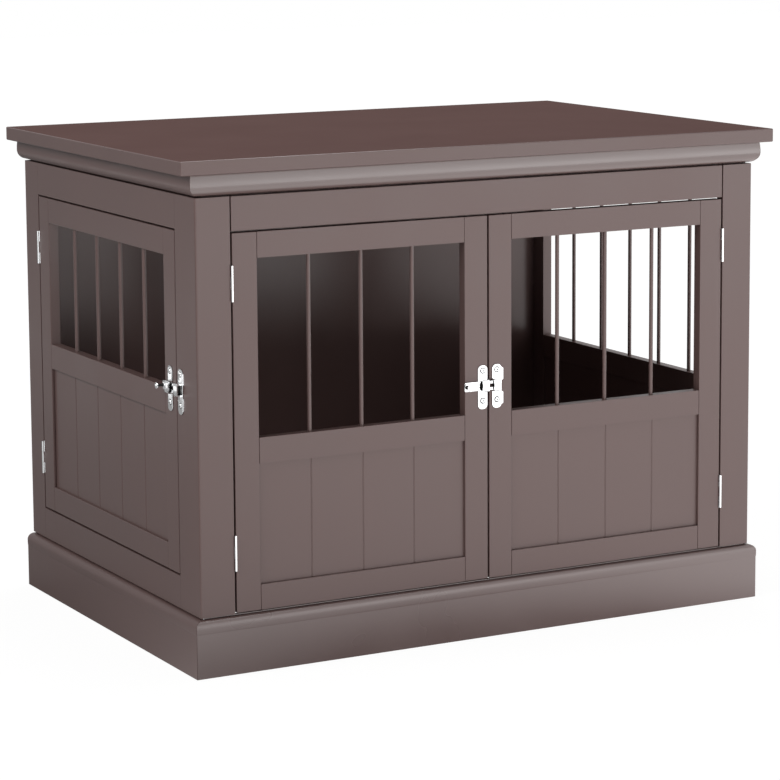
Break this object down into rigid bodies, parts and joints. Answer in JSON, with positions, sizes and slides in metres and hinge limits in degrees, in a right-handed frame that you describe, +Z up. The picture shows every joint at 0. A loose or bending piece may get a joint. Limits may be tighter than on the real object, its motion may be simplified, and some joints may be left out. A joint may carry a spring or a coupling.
{
  "type": "dog crate end table",
  "caption": "Wooden dog crate in the form of an end table, with barred double front doors, a barred side door, sliding latches and a solid top.",
  "frame": {"origin": "middle of the table's footprint, on the floor", "axes": "+X to the right seen from the front, +Y from the front doors to the back, +Z up"},
  "size_m": [0.9744, 0.6514, 0.7214],
  "materials": {
    "painted_wood": "grey brown semi-gloss paint on wooden boards",
    "bar_paint": "metal bars painted like the wood",
    "hardware": "bright polished plated metal"
  },
  "bodies": {
    "carcass": {"back_panel": "painted_wood", "crown_front": "painted_wood", "crown_left": "painted_wood", "crown_right": "painted_wood", "floor_panel": "painted_wood", "front_top_rail": "painted_wood", "left_bottom_rail": "painted_wood", "left_door_lower_hinge_frame_leaf": "hardware", "left_door_upper_hinge_frame_leaf": "hardware", "left_top_rail": "painted_wood", "plinth_front": "painted_wood", "plinth_left": "painted_wood", "plinth_right": "painted_wood", "post_front_left": "painted_wood", "post_front_right": "painted_wood", "post_rear_left": "painted_wood", "post_rear_right": "painted_wood", "right_bottom_rail": "painted_wood", "right_door_lower_hinge_frame_leaf": "hardware", "right_door_upper_hinge_frame_leaf": "hardware", "right_mid_rail": "painted_wood", "right_panel": "painted_wood", "right_top_rail": "painted_wood", "right_window_bars": "bar_paint", "side_door_lower_hinge_frame_leaf": "hardware", "side_door_upper_hinge_frame_leaf": "hardware", "side_latch_keeper": "hardware", "table_top": "painted_wood"},
    "left_front_door": {"front_latch_base": "hardware", "left_door_bars": "bar_paint", "left_door_bottom_rail": "painted_wood", "left_door_hinge_stile": "painted_wood", "left_door_latch_stile": "painted_wood", "left_door_lower_hinge_door_leaf": "hardware", "left_door_mid_rail": "painted_wood", "left_door_panel": "painted_wood", "left_door_top_rail": "painted_wood", "left_door_upper_hinge_door_leaf": "hardware"},
    "right_front_door": {"front_latch_keeper": "hardware", "right_door_bars": "bar_paint", "right_door_bottom_rail": "painted_wood", "right_door_hinge_stile": "painted_wood", "right_door_latch_stile": "painted_wood", "right_door_lower_hinge_door_leaf": "hardware", "right_door_mid_rail": "painted_wood", "right_door_panel": "painted_wood", "right_door_top_rail": "painted_wood", "right_door_upper_hinge_door_leaf": "hardware"},
    "side_door": {"side_door_bars": "bar_paint", "side_door_bottom_rail": "painted_wood", "side_door_hinge_stile": "painted_wood", "side_door_latch_stile": "painted_wood", "side_door_lower_hinge_door_leaf": "hardware", "side_door_mid_rail": "painted_wood", "side_door_panel": "painted_wood", "side_door_top_rail": "painted_wood", "side_door_upper_hinge_door_leaf": "hardware", "side_latch_base": "hardware"},
    "front_bolt": {"front_latch_bolt": "hardware"},
    "side_bolt": {"side_latch_bolt": "hardware"}
  },
  "joints": [
    {"name": "left_front_door_hinge", "type": "hinge", "parent": "carcass", "child": "left_front_door", "pos_m": [-0.4064, -0.31195, 0.3518], "axis": [0, 0, -1], "range_deg": [0, 170]},
    {"name": "right_front_door_hinge", "type": "hinge", "parent": "carcass", "child": "right_front_door", "pos_m": [0.4064, -0.31195, 0.3518], "axis": [0, 0, 1], "range_deg": [0, 170]},
    {"name": "side_door_hinge", "type": "hinge", "parent": "carcass", "child": "side_door", "pos_m": [-0.4622, 0.26665, 0.37585], "axis": [0, 0, -1], "range_deg": [0, 170]},
    {"name": "front_bolt_slide", "type": "slide", "parent": "left_front_door", "child": "front_bolt", "axis": [1, 0, 0], "range_m": [-0.005, 0.011]},
    {"name": "side_bolt_slide", "type": "slide", "parent": "side_door", "child": "side_bolt", "axis": [0, -1, 0], "range_m": [-0.005, 0.0095]}
  ]
}
